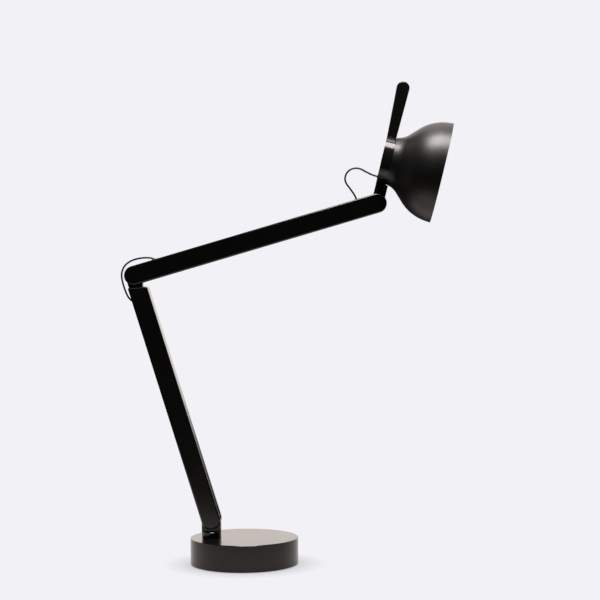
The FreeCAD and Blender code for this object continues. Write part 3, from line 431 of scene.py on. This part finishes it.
paintLook = {           # the shade's own paint; the other painted pieces start from it
    "dark": (0.0012, 0.0012, 0.0013),
    "light": (0.0026, 0.0025, 0.0025),
    "roughness": 0.4,
    "roughnessChange": 0.03,
    "grainSize": 1500,
    "grainDepth": 0.10,
    "gloss": 0.6,
    "dust": 0.05,
}
baseLook = dict(paintLook, roughness=0.19, gloss=0.35, dark=(0.003, 0.0029, 0.0029),
                light=(0.005, 0.0048, 0.0046))
armLook = dict(paintLook, roughness=0.2, dark=(0.0030, 0.0030, 0.0031), light=(0.0048, 0.0047, 0.0047))
paddleLook = dict(paintLook, roughness=0.17, gloss=0.5, dark=(0.006, 0.006, 0.006),
                  light=(0.010, 0.010, 0.010))
ironLook = dict(paintLook, roughness=0.7, roughnessChange=0.1, grainSize=500, grainDepth=0.6,
                dark=(0.05, 0.05, 0.05), light=(0.10, 0.095, 0.09))
finishes = {
    "black_steel": paintedMetal("satinBlackBase", baseLook),
    "black_aluminium": paintedMetal("satinBlackArms", armLook),
    "spunShade": paintedMetal("satinBlackShade", paintLook),
    "paddle": paintedMetal("satinBlackPaddle", paddleLook),
    "bare_aluminium": bareMetal("machinedAluminium", {
        "dark": (0.62, 0.63, 0.64), "light": (0.80, 0.81, 0.82), "roughness": 0.32, "stretch": (1, 1, 30),
        "depth": 0.2}),
    "cast_iron": paintedMetal("castIron", ironLook),
    "plain_steel": bareMetal("zincSteel", {
        "dark": (0.50, 0.51, 0.53), "light": (0.66, 0.67, 0.69), "roughness": 0.3, "stretch": (30, 1, 1),
        "depth": 0.15}),
    "black_screw": bareMetal("blackOxideSteel", {
        "dark": (0.02, 0.02, 0.022), "light": (0.05, 0.05, 0.055), "roughness": 0.38, "stretch": (20, 1, 20),
        "depth": 0.2}),
    "bronze": bareMetal("bearingBronze", {
        "dark": (0.50, 0.33, 0.14), "light": (0.66, 0.46, 0.22), "roughness": 0.35, "stretch": (1, 30, 1),
        "depth": 0.2}),
    "black_rubber": mouldedPlastic("blackRubber", {
        "dark": (0.010, 0.010, 0.010), "light": (0.020, 0.020, 0.020), "roughness": 0.62, "grainSize": 900,
        "grainDepth": 0.25}),
    "cable_black": mouldedPlastic("cableJacket", {
        "dark": (0.008, 0.008, 0.008), "light": (0.014, 0.014, 0.014), "roughness": 0.45, "grainSize": 1200,
        "grainDepth": 0.1}),
    "black_plastic": mouldedPlastic("blackPlastic", {
        "dark": (0.008, 0.008, 0.009), "light": (0.014, 0.014, 0.014), "roughness": 0.5, "grainSize": 1100,
        "grainDepth": 0.3}),
    "pale_plastic": mouldedPlastic("slidingPlastic", {
        "dark": (0.55, 0.53, 0.48), "light": (0.66, 0.64, 0.58), "roughness": 0.5, "grainSize": 900,
        "grainDepth": 0.1, "depthOfLight": 0.1}),
    "white_plastic": mouldedPlastic("reflectorWhite", {
        "dark": (0.78, 0.78, 0.77), "light": (0.86, 0.86, 0.85), "roughness": 0.25, "grainSize": 900,
        "grainDepth": 0.05}),
    "opal_plastic": mouldedPlastic("opalDiffuser", {
        "dark": (0.80, 0.80, 0.77), "light": (0.87, 0.87, 0.85), "roughness": 0.42, "grainSize": 1800,
        "grainDepth": 0.15, "depthOfLight": 0.5}),
    "white_board": mouldedPlastic("whiteBoard", {
        "dark": (0.74, 0.74, 0.73), "light": (0.82, 0.82, 0.81), "roughness": 0.4, "grainSize": 700,
        "grainDepth": 0.1}),
    "green_board": mouldedPlastic("greenBoard", {
        "dark": (0.01, 0.09, 0.035), "light": (0.02, 0.14, 0.06), "roughness": 0.35, "grainSize": 700,
        "grainDepth": 0.1}),
    "led_phosphor": mouldedPlastic("phosphor", {
        "dark": (0.75, 0.55, 0.08), "light": (0.85, 0.66, 0.14), "roughness": 0.35, "grainSize": 900,
        "grainDepth": 0.1}),
}
ownFinish = {"shade": "spunShade", "head_paddle": "paddle"}     # the other pieces have their slot's finish


def dressNodes():
    slots = {entry["node"]: entry["material_slot"] for entry in frame["record"]["subparts"]}
    for name, piece in nodes.items():
        piece.data.materials.clear()
        piece.data.materials.append(finishes[ownFinish.get(name, slots[name])])


# rounded edges on the pieces that show, in mm; the seams show as fine lines because of them
edgeWidths = {
    "base_shell": 0.5, "base_plate": 0.3, "base_pad": 0.6, "cable_gland": 0.4, "swivel_slip_ring": 0.08,
    "swivel_knuckle": 0.35, "lower_clevis": 0.3, "lower_tube": 0.3, "elbow_tongue": 0.3,
    "elbow_clevis": 0.3, "upper_tube": 0.3, "head_clevis": 0.3, "head_paddle": 0.35, "shade": 0.35,
    "lower_hinge_screw": 0.3, "elbow_hinge_screw": 0.3, "head_hinge_screw": 0.3,
    "lower_arm_screws": 0.12, "upper_arm_screws": 0.12, "plate_screws": 0.25, "shade_screws": 0.25,
    "lower_arm_grommet": 0.25, "upper_elbow_grommet": 0.25, "upper_head_grommet": 0.2, "head_grommet": 0.2,
    "switch_button": 0.25, "reflector": 0.3, "diffuser": 0.4, "diffuser_ring": 0.35, "heat_spreader": 0.3,
}
edgeLook = {
    "weldReach": 1e-6,      # metres
    "flatAngle": 0.4,       # degrees; facets that meet flatter than this are joined
    "cornerAngle": 32,      # degrees; sharper corners are rounded
    "segments": 3,
    "normalWeight": 60,
}


def roundEdges(name, width):
    piece = nodes[name]
    weld = piece.modifiers.new("weld", "WELD")
    weld.merge_threshold = edgeLook["weldReach"]
    flats = piece.modifiers.new("flats", "DECIMATE")
    flats.decimate_type = "DISSOLVE"
    flats.angle_limit = math.radians(edgeLook["flatAngle"])
    rounding = piece.modifiers.new("rounding", "BEVEL")
    rounding.width = width / 1000
    rounding.segments = edgeLook["segments"]
    rounding.limit_method = "ANGLE"
    rounding.angle_limit = math.radians(edgeLook["cornerAngle"])
    piece.data.shade_smooth()
    normals = piece.modifiers.new("normals", "WEIGHTED_NORMAL")
    normals.weight = edgeLook["normalWeight"]
    normals.keep_sharp = True


dressNodes()
for name, width in edgeWidths.items():
    roundEdges(name, width)
for loop in (elbowLoop, headLoop):
    loop.data.materials.append(finishes["cable_black"])
print("materials made:", len(finishes))
print("edges rounded:", len(edgeWidths))


# floor, backdrop and light
studio = {
    "backdrop": (0.890, 0.880, 0.923),   # linear value of the plain background
    "bounce": (1.0, 0.91, 0.85),         # the warmer tone in which the lamp mirrors floor and backdrop
    "floorRadius": 12,
    "floorSides": 96,
    "paintedShadowReach": 0.05,                # how far the base's painted shadow darkens the floor
    # how dark the painted shadow is at the base, and the samples that smooth it
    "paintedShadowDepth": 0.6,
    "paintedShadowSamples": 12,
    "floorGlow": (0.25, 0.7),            # the floor lights the lamp out to the first, and fades to the second
    "floorGlowEnds": (1, 0.03),
    "backSpan": (0.05, 0.95),            # how far round to the back the backdrop's glow starts and is full
    "backGlow": 1.55,
    "frontGlow": 0.003,
    "skySpan": (0.15, 0.8),              # from low to high above the lamp
    "skyLift": 0.8,                      # share of the back glow that is left up there
}


def fade(tree, value, span, ends):
    node = tree.nodes.new("ShaderNodeMapRange")
    node.interpolation_type = "SMOOTHSTEP"
    for label, number in zip(("From Min", "From Max", "To Min", "To Max"), (*span, *ends)):
        node.inputs[label].default_value = number
    tree.links.new(value, node.inputs["Value"])
    return node.outputs[0]


def makeFloor():
    bm = bmesh.new()
    bmesh.ops.create_circle(bm, cap_ends=True, radius=studio["floorRadius"], segments=studio["floorSides"])
    floor = finishMesh("floor", bm, smooth=False)
    material, tree, shader, place = newMaterial("paleFloor")
    tree.nodes.remove(shader)
    # painted shadow: the floor only glows, and ambient occlusion dims its glow near the base in place of a
    # cast shadow
    paintedShadow = tree.nodes.new("ShaderNodeAmbientOcclusion")
    paintedShadow.inputs["Distance"].default_value = studio["paintedShadowReach"]
    paintedShadow.samples = studio["paintedShadowSamples"]
    shade = tree.nodes.new("ShaderNodeMapRange")
    shade.inputs["To Min"].default_value = 1 - studio["paintedShadowDepth"]
    tree.links.new(paintedShadow.outputs["AO"], shade.inputs["Value"])
    length = tree.nodes.new("ShaderNodeVectorMath")
    length.operation = "LENGTH"
    tree.links.new(place, length.inputs[0])
    glow = fade(tree, length.outputs["Value"], studio["floorGlow"], studio["floorGlowEnds"])
    path = tree.nodes.new("ShaderNodeLightPath")
    reach = compute(tree, "MAXIMUM", path.outputs["Is Camera Ray"], glow)
    plain = tree.nodes.new("ShaderNodeEmission")
    tree.links.new(mixColour(tree, path.outputs["Is Camera Ray"], studio["bounce"], studio["backdrop"]),
                   plain.inputs["Color"])
    tree.links.new(compute(tree, "MULTIPLY", reach, shade.outputs[0]), plain.inputs["Strength"])
    tree.links.new(plain.outputs[0], tree.nodes["Material Output"].inputs["Surface"])
    floor.data.materials.append(material)


def makeWorld():
    # a bright backdrop behind the lamp and a dark room in front of it
    world = bpy.data.worlds.new("studioWorld")
    scene.world = world
    world.use_nodes = True
    tree = world.node_tree
    seen = tree.nodes["Background"]
    seen.inputs["Color"].default_value = (*studio["backdrop"], 1)
    lit = tree.nodes.new("ShaderNodeBackground")
    split = tree.nodes.new("ShaderNodeSeparateXYZ")
    tree.links.new(tree.nodes.new("ShaderNodeTexCoord").outputs["Generated"], split.inputs[0])
    back = fade(tree, split.outputs["Y"], studio["backSpan"], (0, 1))
    high = fade(tree, split.outputs["Z"], studio["skySpan"], (1, studio["skyLift"]))
    glow = compute(tree, "MULTIPLY", compute(tree, "MULTIPLY", back, high), studio["backGlow"])
    tree.links.new(compute(tree, "ADD", glow, studio["frontGlow"]), lit.inputs["Strength"])
    lit.inputs["Color"].default_value = (*studio["bounce"], 1)
    path = tree.nodes.new("ShaderNodeLightPath")
    mix = tree.nodes.new("ShaderNodeMixShader")
    tree.links.new(path.outputs["Is Camera Ray"], mix.inputs[0])
    tree.links.new(lit.outputs[0], mix.inputs[1])
    tree.links.new(seen.outputs[0], mix.inputs[2])
    tree.links.new(mix.outputs[0], tree.nodes["World Output"].inputs["Surface"])


lights = {
    "softBox": {
        "place": (0.14, -0.34, 1.85),
        "aim": (0.14, -0.34, 0),
        "size": (0.85, 0.65),
        "power": 34,
        "colour": (1, 0.94, 0.92),
    },
    "topPanel": {
        "place": (0.175, 0.70, 1.9),
        "aim": (0.175, 0.70, 0),
        "size": (1.05, 0.90),
        "power": 2,
        "colour": (1, 0.95, 0.92),
    },
}


def makeLight(name, look):
    data = bpy.data.lights.new(name, "AREA")
    data.shape = "RECTANGLE"
    data.size, data.size_y = look["size"]
    data.energy = look["power"]
    data.color = look["colour"]
    light = bpy.data.objects.new(name, data)
    light.location = look["place"]
    light.rotation_mode = "QUATERNION"
    light.rotation_quaternion = (Vector(look["aim"]) - Vector(look["place"])).to_track_quat("-Z", "Y")
    scene.collection.objects.link(light)


makeFloor()
makeWorld()
for name, look in lights.items():
    makeLight(name, look)
scene.view_settings.view_transform = "Standard"
print("studio set")
